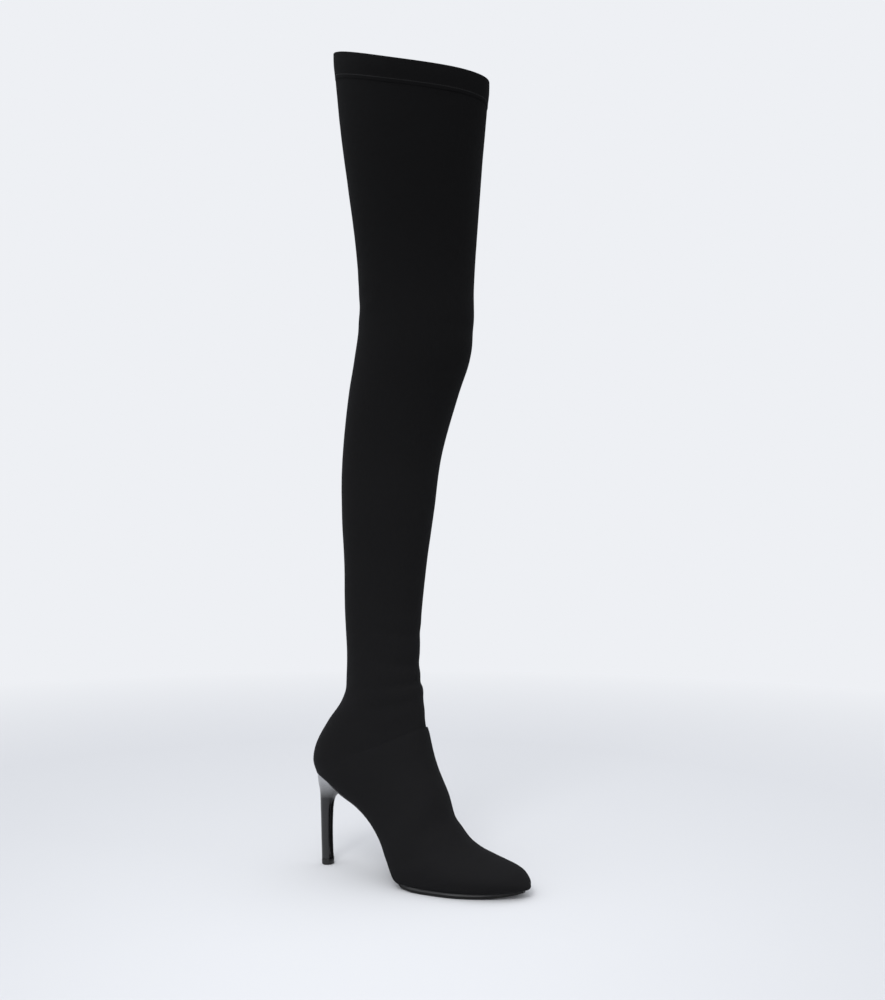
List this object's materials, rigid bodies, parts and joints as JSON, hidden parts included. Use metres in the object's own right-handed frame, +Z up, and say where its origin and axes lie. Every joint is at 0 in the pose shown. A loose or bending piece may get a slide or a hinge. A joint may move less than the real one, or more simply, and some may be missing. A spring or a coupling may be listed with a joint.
{
  "type": "thigh high boot",
  "caption": "Right thigh high boot of plain black stretch fabric, leg and foot in one hollow wall, with a folded hem at the collar, an almond toe, a slim sole and a slender high heel.",
  "frame": {"origin": "on the floor, at the middle of the heel tip's flat underside", "axes": "+X towards the toe, +Y towards the inner side of the foot (the wearer's left), +Z up"},
  "size_m": [0.2306, 0.099, 0.8042],
  "materials": {
    "stretch_fabric": "matt black stretch knit",
    "insole_leather": "matt black lining",
    "sole_leather": "black, smooth, edge inked",
    "heel_lacquer": "black gloss",
    "tip_rubber": "matt black"
  },
  "bodies": {
    "root": {"upper": "stretch_fabric", "top_band": "stretch_fabric", "insole": "insole_leather", "outsole": "sole_leather", "heel": "heel_lacquer", "heel_tip": "tip_rubber"}
  },
  "joints": []
}
